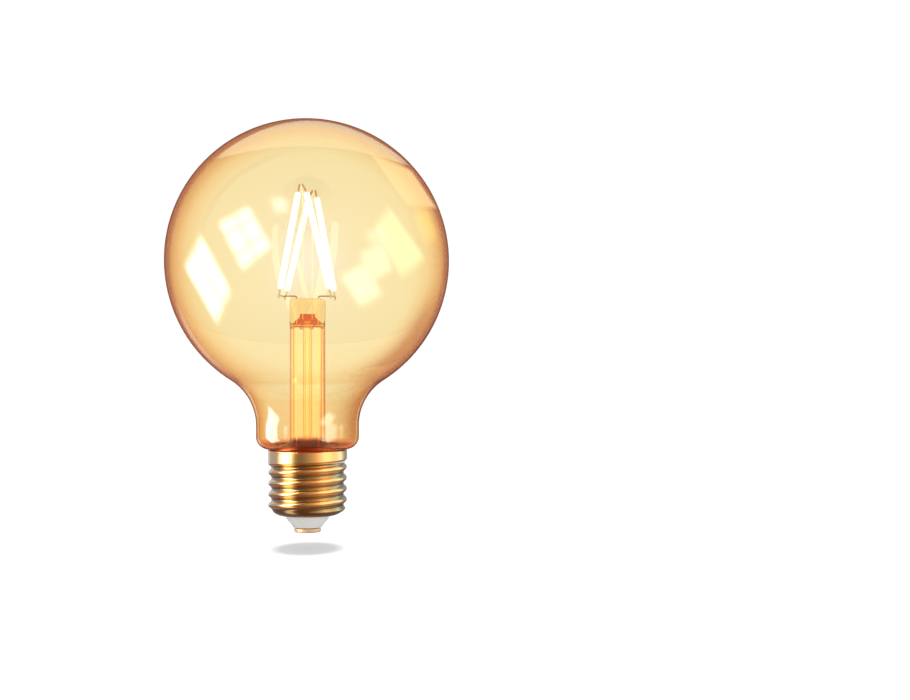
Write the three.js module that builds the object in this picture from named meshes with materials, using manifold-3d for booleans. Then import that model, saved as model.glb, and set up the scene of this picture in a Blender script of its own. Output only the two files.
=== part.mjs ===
// A globe-shaped smart filament lamp on an E27 screw cap: a 95 mm amber glass globe, a glass stem with
// four LED filaments, and a mains driver with a radio board inside the metal cap.
// Millimetres, +Z up along the lamp's axis. The origin is the centre of the contact's flat lower face.
// +X runs along the wide way of the glass pinch, from the left lead-in wire to the right one.
import * as THREE from "three";
import { mergeVertices } from "three/addons/utils/BufferGeometryUtils.js";
import Module from "manifold-3d";

const wasm = await Module();
wasm.setup();

// ---------------------------------------------------------------------------------------------------------
// Driving dimensions
// ---------------------------------------------------------------------------------------------------------
const joinGap = 0.3; // air left between two pieces that are fused, welded, glued or soldered together
const ringSides = 32; // every ring round the axis has the same corners, so that gaps between rings stay even

// Glass globe
const globeDiameter = 95;
const glassWall = 0.9;
const neckDiameter = 34.4;
const neckHeight = 7.9; // from the cap to where the neck starts to widen
const neckShoulderRadius = 17.9; // the hollow curve from the neck into the globe
const neckStubLength = 4.6; // the glass that goes down inside the cap

// E27 cap
const capHeight = 27.5; // contact face to the shell's top rim
const threadPitch = 3.629;
const threadCrestRadius = 13.15;
const threadRootRadius = 12.08;
const shellWall = 0.3;
const collarHeight = 4.8; // the plain band above the thread
const threadBottom = 8.8; // where the wall starts to turn in
const shellFloorZ = 5.5;
const shellFloorHoleRadius = 7.7;
const contactRadius = 4.5;
const contactThickness = 1.25;
const contactEdge = 0.45;
const contactPinRadius = 1.2;
const contactPinReach = 1.1; // the pin above the insulator
const insulatorTipRadius = 4.85;
const insulatorFlangeRadius = 8.6;
const insulatorFlangeThickness = 1.2;
const linerRadius = 11.3;
const linerWall = 0.35;

// Glass stem
const stemDiameter = 11.9;
const stemWall = 1.05;
const pinchDrop = 12.5; // the pinch's top face below the globe's centre
const pinchThickness = 4;
const pinchCornerRadius = 1.8;
const pinchShoulderDrop = 4.8; // the flat part of the pinch
const cavityDrop = 8.6; // from the pinch's top to where the hollow starts to close
const flareHeight = 3.8; // the stem's flare above the cap
const exhaustDiameter = 3;
const exhaustBore = 1.6;

// Filament mount
const wireDiameter = 0.45;
const leadBend = 0.7; // the lead-in wires turn outwards this far above the pinch
const supportSpacing = 3.2; // between the two support wires
const supportSeat = 7; // how deep they reach into the pinch
const filamentDiameter = 1.9;
const filamentFlat = 0.82; // a filament is a little flatter than wide
const filamentClearance = 2.9; // its foot above the pinch
const filamentRise = 31.7;
const filamentFootX = 8.05;
const filamentFootY = 10.2;
const filamentTipY = 8.8;
const filamentTipNearX = -2.3; // tip of the filament whose foot is on the same side
const filamentTipFarX = 0.4; // tip of the one that leans over from the other side
const tabWidth = 0.6;
const tabThickness = 0.2;
const footTabLength = 3.3;
const tipHookX = -1.3; // where the front pair's tip tabs meet the support wire
const tipHookRise = 2.7;

// Driver
const boardWidth = 18;
const boardThickness = 1;
const cableDiameter = 0.9;
const padLength = 1.9; // bare wire that lies on a solder pad

// ---------------------------------------------------------------------------------------------------------
// Values that follow from them
// ---------------------------------------------------------------------------------------------------------
const globeRadius = globeDiameter / 2;
const neckRadius = neckDiameter / 2;
const collarRadius = threadCrestRadius + 0.1;
const collarInner = collarRadius - shellWall;
const threadTop = capHeight - collarHeight;
const stubTop = capHeight + joinGap; // the neck's foot sits just over the shell's rim
const stubBottom = stubTop - neckStubLength;
const shoulderR = neckRadius + neckShoulderRadius;
const shoulderZ = stubTop + neckHeight;
const globeDrop = Math.sqrt((globeRadius + neckShoulderRadius) ** 2 - shoulderR ** 2);
const globeCentreZ = shoulderZ + globeDrop; // the shoulder curve touches the sphere from outside
const cementWall = 0.55;
const stubRadius = collarInner - 2 * joinGap - cementWall;
const stubInner = stubRadius - glassWall;
const stemRadius = stemDiameter / 2;
const stemBore = stemRadius - stemWall;
const flareRim = stubInner - joinGap;
const flareStart = stubTop + flareHeight;
const pinchTop = globeCentreZ - pinchDrop;
const pinchShoulder = pinchTop - pinchShoulderDrop;
const stemCavityTop = pinchTop - cavityDrop;
const leadX = stemBore - 1.2;
const leadBendZ = pinchTop + leadBend;
const filamentFootZ = pinchTop + filamentClearance;
const filamentTipZ = filamentFootZ + filamentRise;
const tipHookZ = filamentTipZ + tipHookRise;
const supportTop = filamentTipZ - 0.6;
const insulatorFlangeBottom = shellFloorZ + shellWall + joinGap + 0.15;
const insulatorTop = insulatorFlangeBottom + insulatorFlangeThickness;
const contactPinTop = insulatorTop + contactPinReach;
const exhaustTip = stubTop - 2;
const boardBottom = contactPinTop + 0.4;
const boardTop = exhaustTip - 1.3;
const boardFace = boardThickness / 2;
const wireRadius = wireDiameter / 2;
const tabLean = (filamentFootX + filamentTipNearX) / (filamentTipZ - filamentFootZ);
const crossbarX = filamentFootX + tabLean * (filamentFootZ - leadBendZ);
const crossbarHalf = filamentFootY - tabThickness / 2 - joinGap;

// ---------------------------------------------------------------------------------------------------------
// Materials
// ---------------------------------------------------------------------------------------------------------
const paint = (color, roughness, metalness) => new THREE.MeshStandardMaterial({ color, roughness, metalness });
const amberGlass = new THREE.MeshStandardMaterial({
  color: 0xe8b968,
  roughness: 0.05,
  metalness: 0,
  transparent: true,
  opacity: 0.45,
});
const clearGlass = new THREE.MeshStandardMaterial({
  color: 0xf0e2c4,
  roughness: 0.05,
  metalness: 0,
  transparent: true,
  opacity: 0.5,
});
const goldShell = paint(0xd6a963, 0.25, 1);
const brass = paint(0xc99a4b, 0.3, 1);
const whitePlastic = paint(0xeeeef0, 0.45, 0);
const nickelWire = paint(0xb8a88c, 0.35, 1);
const phosphor = new THREE.MeshStandardMaterial({ color: 0xfff3d2, roughness: 0.6, emissive: 0xfff0d0 });
const cement = paint(0xd9d2c4, 0.9, 0);
const clearFilm = paint(0xe7e2d2, 0.5, 0);
const greenBoard = paint(0x1f6b3d, 0.5, 0);
const blackResin = paint(0x17181a, 0.5, 0);
const blackSleeve = paint(0x20242b, 0.4, 0);
const ferrite = paint(0x3b3a3a, 0.7, 0);
const copper = paint(0xb8683a, 0.35, 1);
const tin = paint(0xc4c6c8, 0.35, 1);
const resistorBody = paint(0x7f9a8c, 0.6, 0);
const blueCoat = paint(0x2c5da8, 0.5, 0);
const ceramicTan = paint(0xb79a72, 0.6, 0);
const redCable = paint(0xb3262a, 0.5, 0);
const blackCable = paint(0x1c1c1e, 0.5, 0);
const whiteCable = paint(0xe6e4de, 0.5, 0);

// ---------------------------------------------------------------------------------------------------------
// Shape helpers
// ---------------------------------------------------------------------------------------------------------
const lamp = new THREE.Group();

function put(name, geometry, material, at = [0, 0, 0]) {
  const mesh = new THREE.Mesh(geometry, material);
  mesh.name = name;
  mesh.position.set(...at);
  lamp.add(mesh);
  return mesh;
}

// A body turned about Z. The profile holds [radius, z] pairs: up on the outside, down on the inside.
function turned(profile, segments = ringSides) {
  const points = profile.map(([r, z]) => new THREE.Vector2(r, z));
  return new THREE.LatheGeometry(points, segments).rotateX(Math.PI / 2);
}

// A closed profile is turned as a ring.
const turnedRing = (profile, segments) => turned([...profile, profile[0]], segments);

// Points of an arc in the [radius, z] plane, angles in degrees from the +radius direction.
function arc(centre, radius, from, to, steps) {
  return Array.from({ length: steps + 1 }, (_, i) => {
    const angle = THREE.MathUtils.degToRad(from + ((to - from) * i) / steps);
    return [centre[0] + radius * Math.cos(angle), centre[1] + radius * Math.sin(angle)];
  });
}

// A round wire or cable along a smooth curve, with the same number of steps from each point to the next.
function wire(points, diameter, stepsEach = 3, sides = 6) {
  const curve = new THREE.CatmullRomCurve3(
    points.map((p) => new THREE.Vector3(...p)),
    false,
    "centripetal",
  );
  curve.getUtoTmapping = (u) => u;
  const steps = stepsEach * (points.length - 1);
  const section = new THREE.Shape();
  for (let i = 0; i < sides; i++) {
    const angle = (2 * Math.PI * i) / sides;
    const [x, y] = [(diameter / 2) * Math.cos(angle), (diameter / 2) * Math.sin(angle)];
    if (i === 0) section.moveTo(x, y);
    else section.lineTo(x, y);
  }
  return new THREE.ExtrudeGeometry(section, { steps, extrudePath: curve, bevelEnabled: false });
}

// A wire that runs straight up from one point and then turns through a rounded corner to another.
function cornerPath(start, corner, end, radius) {
  const [a, c, b] = [start, corner, end].map((p) => new THREE.Vector3(...p));
  const into = a.clone().sub(c).setLength(radius).add(c);
  const out = b.clone().sub(c).setLength(radius).add(c);
  const bend = new THREE.QuadraticBezierCurve3(into, c, out).getPoints(4);
  return [a, ...bend, b].map((p) => p.toArray());
}

// A box given by its lowest and highest corners.
function box(low, high) {
  const size = high.map((v, i) => v - low[i]);
  const middle = high.map((v, i) => (v + low[i]) / 2);
  return new THREE.BoxGeometry(...size).translate(...middle);
}

const upright = (radius, low, high, segments = 16) =>
  new THREE.CylinderGeometry(radius, radius, high - low, segments)
    .rotateX(Math.PI / 2)
    .translate(0, 0, (low + high) / 2);

// three.js geometry to a solid, and back.
function solid(geometry) {
  const plain = geometry.clone();
  plain.deleteAttribute("normal");
  plain.deleteAttribute("uv");
  const merged = mergeVertices(plain, 1e-4);
  return new wasm.Manifold(
    new wasm.Mesh({
      numProp: 3,
      vertProperties: merged.attributes.position.array,
      triVerts: new Uint32Array(merged.index.array),
    }),
  );
}

function geometryOf(made) {
  const mesh = made.getMesh();
  return new THREE.BufferGeometry()
    .setAttribute("position", new THREE.BufferAttribute(mesh.vertProperties, 3))
    .setIndex(new THREE.BufferAttribute(mesh.triVerts, 1));
}

const joined = (...parts) => geometryOf(parts.map(solid).reduce((a, b) => a.add(b)));
const cut = (from, ...tools) => geometryOf(tools.map(solid).reduce((a, b) => a.subtract(b), solid(from)));
const common = (...parts) => geometryOf(parts.map(solid).reduce((a, b) => a.intersect(b)));

// A flat outline in the XZ plane, given thickness along Y about y = 0.
function slab(outline, thickness) {
  return new THREE.ExtrudeGeometry(outline, { depth: thickness, bevelEnabled: false, curveSegments: 5 })
    .translate(0, 0, -thickness / 2)
    .rotateX(Math.PI / 2);
}

// ---------------------------------------------------------------------------------------------------------
// Glass globe: a sphere that flows into the neck, with an open stub that goes down into the cap
// ---------------------------------------------------------------------------------------------------------
function globeSide(inset) {
  const sphere = globeRadius - inset;
  const shoulder = neckShoulderRadius + inset;
  const meet = THREE.MathUtils.radToDeg(Math.atan2(globeDrop, shoulderR));
  const footRadius = neckRadius - collarRadius + 0.25;
  const foot = footRadius - inset;
  return [
    [stubRadius - inset, stubBottom],
    [stubRadius - inset, stubTop + inset],
    ...arc([neckRadius - footRadius, stubTop + footRadius], foot, -90, 0, 4),
    ...arc([shoulderR, shoulderZ], shoulder, 180, 180 - meet, 5),
    ...arc([0, globeCentreZ], sphere, -meet, 0, 5).slice(1),
    ...arc([0, globeCentreZ], sphere, 0, 90, 8).slice(1, -1),
    [0, globeCentreZ + sphere],
  ];
}
put("glass_globe", turned([...globeSide(glassWall).reverse(), ...globeSide(0)]), amberGlass);

// ---------------------------------------------------------------------------------------------------------
// Glass stem: flare, tube and pinch in one piece of glass, drilled for its wires
// ---------------------------------------------------------------------------------------------------------
function stemSide(inset) {
  const flareRadius = (flareRim - stemRadius) * 0.68;
  const rimRound = flareRim - stemRadius - flareRadius;
  return [
    [flareRim - inset, stubBottom + 0.6],
    ...arc([flareRim - rimRound, flareStart - flareRadius - rimRound], rimRound - inset, 0, 90, 3),
    ...arc([stemRadius + flareRadius, flareStart], flareRadius + inset, 270, 180, 5).slice(1),
    [stemRadius - inset, stemCavityTop - 0.5],
  ];
}
const stemTube = turnedRing([...stemSide(0), ...stemSide(stemWall).reverse()]);
const cavityEndRadius = exhaustDiameter / 2 + 0.6;
const cavityEnd = stemCavityTop + 3.3;
const supportFoot = pinchTop - supportSeat;

function pinchBlock() {
  const low = stemCavityTop - 1;
  const half = stemRadius;
  const face = new THREE.Shape();
  face.moveTo(-half, low);
  face.lineTo(half, low);
  face.lineTo(half, pinchTop - pinchCornerRadius);
  face.absarc(half - pinchCornerRadius, pinchTop - pinchCornerRadius, pinchCornerRadius, 0, Math.PI / 2);
  face.absarc(pinchCornerRadius - half, pinchTop - pinchCornerRadius, pinchCornerRadius, Math.PI / 2, Math.PI);
  const side = new THREE.Shape();
  side.moveTo(-half, low);
  side.lineTo(half, low);
  side.lineTo(half, stemCavityTop);
  side.quadraticCurveTo(pinchThickness / 2, stemCavityTop + 1.6, pinchThickness / 2, pinchShoulder);
  side.lineTo(pinchThickness / 2, pinchTop);
  side.lineTo(-pinchThickness / 2, pinchTop);
  side.lineTo(-pinchThickness / 2, pinchShoulder);
  side.quadraticCurveTo(-pinchThickness / 2, stemCavityTop + 1.6, -half, stemCavityTop);
  return common(
    slab(face, stemDiameter + 2),
    slab(side, stemDiameter + 2).rotateZ(Math.PI / 2),
    upright(stemRadius, low, pinchTop, ringSides),
  );
}

function glassStem() {
  const cavity = turned(
    [
      [0, stemCavityTop - 3],
      [stemBore, stemCavityTop - 3],
      [stemBore, stemCavityTop],
      [cavityEndRadius, cavityEnd],
      [0, cavityEnd],
    ],
  );
  const wireHole = wireRadius + joinGap;
  const holeAt = (x, low) => upright(wireHole, low, pinchTop + 1, 8).translate(x, 0, 0);
  return cut(
    joined(stemTube, pinchBlock()),
    cavity,
    holeAt(-leadX, stemCavityTop - 2),
    holeAt(leadX, stemCavityTop - 2),
    holeAt(-supportSpacing / 2, supportFoot - joinGap),
    holeAt(supportSpacing / 2, supportFoot - joinGap),
  );
}
put("glass_stem", glassStem(), clearGlass);

const exhaustTop = Math.min(cavityEnd, supportFoot) - 2 * joinGap;
put(
  "exhaust_tube",
  turned(
    [
      [0, exhaustTip],
      ...arc([0, exhaustTip + exhaustDiameter / 2], exhaustDiameter / 2, -60, 0, 3),
      [exhaustDiameter / 2, exhaustTop],
      [exhaustBore / 2, exhaustTop],
      [exhaustBore / 2, exhaustTip + 2.2],
      [0, exhaustTip + 1.6],
    ],
    16,
  ),
  clearGlass,
);

// ---------------------------------------------------------------------------------------------------------
// Filament mount: lead-in wires, crossbars, support wires and four filaments with their metal tabs
// ---------------------------------------------------------------------------------------------------------
const padY = -(boardFace + joinGap + wireRadius);
for (const [side, sign] of [
  ["left", -1],
  ["right", 1],
]) {
  const x = sign * leadX;
  const barEnd = [sign * (crossbarX - wireRadius - joinGap), 0, leadBendZ];
  const path = [
    [x, padY, boardTop - padLength],
    [x, padY, boardTop + 1],
    [x, 0, boardTop + 6],
    [x, 0, boardTop + 12],
    ...cornerPath([x, 0, pinchTop - 2], [x, 0, leadBendZ], barEnd, 0.6),
  ];
  put(`lead_in_wire_${side}`, wire(path, wireDiameter, 2), nickelWire);
  put(
    `crossbar_${side}`,
    new THREE.CylinderGeometry(wireRadius, wireRadius, 2 * crossbarHalf, 8),
    nickelWire,
    [sign * crossbarX, 0, leadBendZ],
  );
}

// The front pair leans together at -Y. The rear pair is the same, turned half a turn about Z.
// At the tips, the left tab lies on the support wire's outer side and the right tab lies on the left one.
const tabOnWire = wireRadius + joinGap + tabThickness / 2;
const tipTabOffset = { left: tabOnWire, right: tabOnWire + joinGap + tabThickness };
for (const [place, turn] of [
  ["front", 0],
  ["rear", Math.PI],
]) {
  const pair = new THREE.Group();
  pair.rotation.z = turn;
  lamp.add(pair);
  const add = (name, geometry, material) => {
    const mesh = new THREE.Mesh(geometry, material);
    mesh.name = name;
    pair.add(mesh);
    return mesh;
  };

  // The support wire rises beside the axis, then reaches out and up between the two tip tabs.
  const post = [-supportSpacing / 2, 0];
  const support = [
    [...post, supportFoot],
    [...post, supportTop - 8],
    [...post, supportTop - 2],
    [post[0], -0.25, supportTop],
    [post[0] + 0.1, -1.5, supportTop + 0.7],
    [tipHookX, -filamentTipY + 1.1, supportTop + 1.9],
    [tipHookX, -filamentTipY, tipHookZ],
  ];
  add(`support_wire_${place}`, wire(support, wireDiameter), nickelWire);

  for (const [side, sign, tipX] of [
    ["left", -1, filamentTipNearX],
    ["right", 1, filamentTipFarX],
  ]) {
    // Seen from behind, left and right change places.
    const shown = turn === 0 ? side : side === "left" ? "right" : "left";
    const foot = new THREE.Vector3(sign * filamentFootX, -filamentFootY, filamentFootZ);
    const tip = new THREE.Vector3(tipX, -filamentTipY, filamentTipZ);
    const along = tip.clone().sub(foot);
    const length = along.length();
    along.normalize();

    const strip = new THREE.CylinderGeometry(filamentDiameter / 2, filamentDiameter / 2, length, 12)
      .scale(1, 1, filamentFlat);
    const body = add(`filament_${place}_${shown}`, strip, phosphor);
    body.position.copy(foot).lerp(tip, 0.5);
    body.quaternion.setFromUnitVectors(new THREE.Vector3(0, 1, 0), along);

    // A tab is a thin strip between two points, its flat side facing the front.
    const tab = (name, from, to) => {
      const way = to.clone().sub(from);
      const flat = new THREE.BoxGeometry(tabWidth, way.length(), tabThickness);
      const made = add(name, flat, nickelWire);
      made.position.copy(from).lerp(to, 0.5);
      const across = new THREE.Vector3(1, 0, 0).projectOnPlane(way.normalize()).normalize();
      const facing = new THREE.Vector3().crossVectors(across, way);
      made.quaternion.setFromRotationMatrix(new THREE.Matrix4().makeBasis(across, way, facing));
    };
    const footEnd = foot.clone().addScaledVector(along, -footTabLength);
    tab(
      `filament_${place}_${shown}_foot_tab`,
      new THREE.Vector3(footEnd.x, -filamentFootY, footEnd.z),
      new THREE.Vector3(foot.x, -filamentFootY, foot.z - joinGap),
    );
    tab(
      `filament_${place}_${shown}_tip_tab`,
      new THREE.Vector3(tip.x, tip.y, tip.z).addScaledVector(along, joinGap + tabThickness / 2),
      new THREE.Vector3(tipHookX + 0.45 * sign, -filamentTipY - tipTabOffset[side], tipHookZ),
    );
  }
}

// ---------------------------------------------------------------------------------------------------------
// Screw cap
// ---------------------------------------------------------------------------------------------------------
// Radius of the rolled thread: crest and root are two arcs of one radius that touch.
const threadDepth = threadCrestRadius - threadRootRadius;
const threadArc = ((threadPitch / 2) ** 2 + threadDepth ** 2) / (4 * threadDepth);
function threadRadius(z, turn) {
  const phase = THREE.MathUtils.euclideanModulo(z / threadPitch - turn, 1);
  const fromCrest = Math.min(phase, 1 - phase) * threadPitch;
  const fromRoot = threadPitch / 2 - fromCrest;
  const rise = (off) => threadArc - Math.sqrt(threadArc ** 2 - off ** 2);
  return fromCrest <= fromRoot ? threadCrestRadius - rise(fromCrest) : threadRootRadius + rise(fromRoot);
}

// The shell is one sheet, folded back on itself: its outside going down, then its inside going up.
function screwShell() {
  const columns = ringSides;
  const rowsPerPitch = 5;
  const threadRows = Math.round(((threadTop - threadBottom) / threadPitch) * rowsPerPitch);
  const run = threadPitch * 0.8; // the thread dies away over this height at each end
  const turnIn = threadRootRadius + 0.35 - shellFloorHoleRadius;
  const floorArc = (inset) =>
    Array.from({ length: 5 }, (_, i) => {
      const angle = (i * Math.PI) / 8;
      return [
        shellFloorHoleRadius + (turnIn - inset) * Math.cos(angle),
        threadBottom - (threadBottom - shellFloorZ - inset) * Math.sin(angle),
        0,
      ];
    });
  const wallAt = (row, inset) => {
    const z = threadTop - ((threadTop - threadBottom) * row) / threadRows;
    const fromTop = THREE.MathUtils.smoothstep(threadTop - z, 0, run);
    const fromFoot = THREE.MathUtils.smoothstep(z - threadBottom, 0, run);
    const plain = z > (threadTop + threadBottom) / 2 ? collarRadius : shellFloorHoleRadius + turnIn;
    return [plain - inset, z, fromTop * fromFoot];
  };
  const outside = [[collarRadius, capHeight, 0]];
  for (let i = 0; i < threadRows; i++) outside.push(wallAt(i, 0));
  outside.push(...floorArc(0));
  const inside = [...floorArc(shellWall)].reverse();
  for (let i = threadRows - 1; i >= 0; i--) inside.push(wallAt(i, shellWall));
  inside.push([collarInner, capHeight, 0]);

  const rows = [...outside.map((p) => [...p, 0]), ...inside.map((p) => [...p, shellWall])];
  const position = [];
  for (let c = 0; c < columns; c++) {
    const turn = c / columns;
    for (const [r, z, weight, inset] of rows) {
      const radius = THREE.MathUtils.lerp(r, threadRadius(z, turn) - inset, weight);
      position.push(radius * Math.cos(2 * Math.PI * turn), radius * Math.sin(2 * Math.PI * turn), z);
    }
  }
  const index = [];
  for (let c = 0; c < columns; c++)
    for (let i = 0; i < rows.length; i++) {
      const [a, b] = [c * rows.length + i, ((c + 1) % columns) * rows.length + i];
      const [d, e] = [c, (c + 1) % columns].map((k) => k * rows.length + ((i + 1) % rows.length));
      index.push(a, d, b, b, d, e);
    }
  return new THREE.BufferGeometry()
    .setAttribute("position", new THREE.Float32BufferAttribute(position, 3))
    .setIndex(index);
}
put("screw_shell", screwShell(), goldShell);

const insulatorNeck = shellFloorHoleRadius - joinGap;
put(
  "cap_insulator",
  turnedRing(
    [
      [insulatorTipRadius, contactThickness + joinGap],
      [insulatorTipRadius + 0.5, contactThickness + joinGap + 0.3],
      [insulatorNeck - 0.75, shellFloorZ - 1.5],
      [insulatorNeck, shellFloorZ - 0.3],
      [insulatorNeck, insulatorFlangeBottom],
      [insulatorFlangeRadius, insulatorFlangeBottom],
      [insulatorFlangeRadius, insulatorTop],
      [contactPinRadius + joinGap, insulatorTop],
      [contactPinRadius + joinGap, contactThickness + joinGap],
    ],
  ),
  whitePlastic,
);
put(
  "centre_contact",
  turned(
    [
      [0, 0],
      [contactRadius - contactEdge, 0],
      [contactRadius, contactEdge],
      [contactRadius, contactThickness],
      [contactPinRadius, contactThickness],
      [contactPinRadius, contactPinTop],
      [0, contactPinTop],
    ],
  ),
  brass,
);
put(
  "basing_cement",
  turnedRing(
    [
      [stubRadius + joinGap, stubBottom + 0.2],
      [collarInner - joinGap, stubBottom + 0.2],
      [collarInner - joinGap, capHeight - 0.3],
      [stubRadius + joinGap, capHeight - 0.3],
    ],
  ),
  cement,
);
put(
  "insulating_liner",
  turnedRing(
    [
      [linerRadius - linerWall, threadBottom],
      [linerRadius, threadBottom],
      [linerRadius, threadTop - 2],
      [linerRadius - linerWall, threadTop - 2],
    ],
  ),
  clearFilm,
);

// ---------------------------------------------------------------------------------------------------------
// Driver: a mains board that stands in the cap, with a radio board behind it
// ---------------------------------------------------------------------------------------------------------
const pinHole = wireRadius + joinGap;
const boardFront = -boardFace - joinGap;
const boardBack = boardFace + joinGap;
const drilled = (x, z) =>
  new THREE.CylinderGeometry(pinHole, pinHole, boardThickness + 2, 8).translate(x, 0, z);

// A round part that lies along the board: its two leads turn from its lower end into the board.
function radialLeads(name, x, y, bodyBottom, pitch) {
  const endY = -Math.sign(y) * (boardFace + 0.4);
  const bendZ = bodyBottom - 1;
  return ["a", "b"].map((label, i) => {
    const at = x + (i === 0 ? -pitch / 2 : pitch / 2);
    const path = cornerPath([at, y, bodyBottom - joinGap], [at, y, bendZ], [at, endY, bendZ], 0.5);
    put(`${name}_lead_${label}`, wire(path, wireDiameter, 1), tin);
    return drilled(at, bendZ);
  });
}

const capacitorRadius = 3.15;
const capacitor = {
  x: -5,
  y: -(boardFace + 0.45 + capacitorRadius),
  low: boardBottom + 2.9,
  high: boardBottom + 11.8,
};
put(
  "bulk_capacitor",
  turned(
    [
      [0, capacitor.low],
      [capacitorRadius - 0.3, capacitor.low],
      [capacitorRadius, capacitor.low + 0.3],
      [capacitorRadius, capacitor.low + 1],
      [capacitorRadius - 0.25, capacitor.low + 1.3],
      [capacitorRadius, capacitor.low + 1.6],
      [capacitorRadius, capacitor.high - 0.3],
      [capacitorRadius - 0.3, capacitor.high],
      [0, capacitor.high],
    ],
    20,
  ),
  blackSleeve,
  [capacitor.x, capacitor.y, 0],
);
const capacitorHoles = radialLeads("bulk_capacitor", capacitor.x, capacitor.y, capacitor.low, 2.5);

const chokeRadius = 3.5;
const choke = {
  x: -4.8,
  y: boardFace + 0.6 + chokeRadius,
  low: boardBottom + 1.9,
  high: boardBottom + 9.4,
};
const chokeFlange = 1.1;
const chokeWaist = 1.7;
put(
  "choke_core",
  turned(
    [
      [0, choke.low],
      [chokeRadius, choke.low],
      [chokeRadius, choke.low + chokeFlange],
      [chokeWaist, choke.low + chokeFlange],
      [chokeWaist, choke.high - chokeFlange],
      [chokeRadius, choke.high - chokeFlange],
      [chokeRadius, choke.high],
      [0, choke.high],
    ],
    18,
  ),
  ferrite,
  [choke.x, choke.y, 0],
);
put(
  "choke_winding",
  turnedRing(
    [
      [chokeWaist + joinGap, choke.low + chokeFlange + joinGap],
      [chokeRadius - 0.3, choke.low + chokeFlange + joinGap],
      [chokeRadius - 0.3, choke.high - chokeFlange - joinGap],
      [chokeWaist + joinGap, choke.high - chokeFlange - joinGap],
    ],
    18,
  ),
  copper,
  [choke.x, choke.y, 0],
);
const chokeHoles = radialLeads("choke", choke.x, choke.y, choke.low, 4.4);

// The fusible resistor stands in its own sleeve. Its upper lead goes to the board, its lower one to the
// live cable.
const resistorRadius = 1.3;
const sleeveWall = 0.3;
const resistor = {
  x: 5.4,
  y: -(boardFace + 0.8 + resistorRadius + joinGap + sleeveWall),
  low: boardBottom + 3.1,
  high: boardBottom + 9.6,
};
put(
  "fusible_resistor",
  turned(
    [
      [0, resistor.low],
      [resistorRadius - 0.2, resistor.low],
      [resistorRadius, resistor.low + 0.3],
      [resistorRadius, resistor.high - 0.3],
      [resistorRadius - 0.2, resistor.high],
      [0, resistor.high],
    ],
    14,
  ),
  resistorBody,
  [resistor.x, resistor.y, 0],
);
put(
  "fusible_resistor_sleeve",
  turnedRing(
    [
      [resistorRadius + joinGap, resistor.low + 0.2],
      [resistorRadius + joinGap + sleeveWall, resistor.low + 0.2],
      [resistorRadius + joinGap + sleeveWall, resistor.high - 0.2],
      [resistorRadius + joinGap, resistor.high - 0.2],
    ],
    14,
  ),
  whiteCable,
  [resistor.x, resistor.y, 0],
);
const resistorHoleZ = resistor.high + 1.6;
put(
  "fusible_resistor_lead_upper",
  wire(
    cornerPath(
      [resistor.x, resistor.y, resistor.high + joinGap],
      [resistor.x, resistor.y, resistorHoleZ],
      [resistor.x, boardFace + 0.4, resistorHoleZ],
      0.5,
    ),
    wireDiameter,
    1,
  ),
  tin,
);
const liveJointZ = resistor.low - 2;
put(
  "fusible_resistor_lead_lower",
  upright(wireRadius, liveJointZ, resistor.low - joinGap, 8),
  tin,
  [resistor.x, resistor.y, 0],
);

put(
  "driver_board",
  cut(
    box([-boardWidth / 2, -boardFace, boardBottom], [boardWidth / 2, boardFace, boardTop]),
    ...capacitorHoles,
    ...chokeHoles,
    drilled(resistor.x, resistorHoleZ),
  ),
  greenBoard,
);

// A surface-mount package with legs along two edges: body and bent legs are one piece.
function gullWing(width, depth, height, legs, pitch) {
  const body = box([-width / 2, 0.12, -depth / 2], [width / 2, height, depth / 2]);
  const feet = [];
  for (const sign of [-1, 1])
    for (let i = 0; i < legs; i++) {
      const z = (i - (legs - 1) / 2) * pitch;
      const reach = width / 2 + 0.9;
      const xs = [sign * (width / 2 - 0.2), sign * reach].sort((a, b) => a - b);
      feet.push(box([xs[0], height * 0.35, z - 0.2], [xs[1], height * 0.35 + 0.2, z + 0.2]));
      const ends = [sign * (reach - 0.2), sign * reach].sort((a, b) => a - b);
      feet.push(box([ends[0], 0, z - 0.2], [ends[1], height * 0.35 + 0.1, z + 0.2]));
    }
  return joined(body, ...feet);
}

// Chips stand off the board's face along -Y in front and +Y behind.
const onFront = (geometry) => geometry.rotateZ(Math.PI);
const bridge = onFront(gullWing(2.6, 4.6, 2.2, 2, 2.5));
put("rectifier_bridge", bridge, blackResin, [0.8, boardFront, boardBottom + 3.7]);
put("led_driver_chip", gullWing(3.9, 4.9, 1.5, 4, 1.27), blackResin, [-4, boardBack, boardBottom + 12.3]);
put("dimming_transistor", gullWing(1.3, 2.9, 1.1, 1, 1), blackResin, [4.7, boardBack, boardBottom + 7.6]);
const varistorRadius = 2.3;
put(
  "surge_varistor",
  new THREE.CylinderGeometry(varistorRadius, varistorRadius, 2.2, 16),
  blueCoat,
  [0.9, -boardFace - 0.7 - 1.1, boardBottom + 9.4],
);
for (const [i, rise] of [12.7, 14.5].entries())
  put(
    `sense_resistor_${i + 1}`,
    box([-1.6, -0.6, -0.6], [1.6, 0, 0.6]),
    blackResin,
    [-6.7, boardFront, boardBottom + rise],
  );
const outputBlock = box([-1.6, -1.5, -1.25], [1.6, 0, 1.25]);
put("output_capacitor", outputBlock, ceramicTan, [6.9, boardFront, boardBottom + 13.8]);

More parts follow.
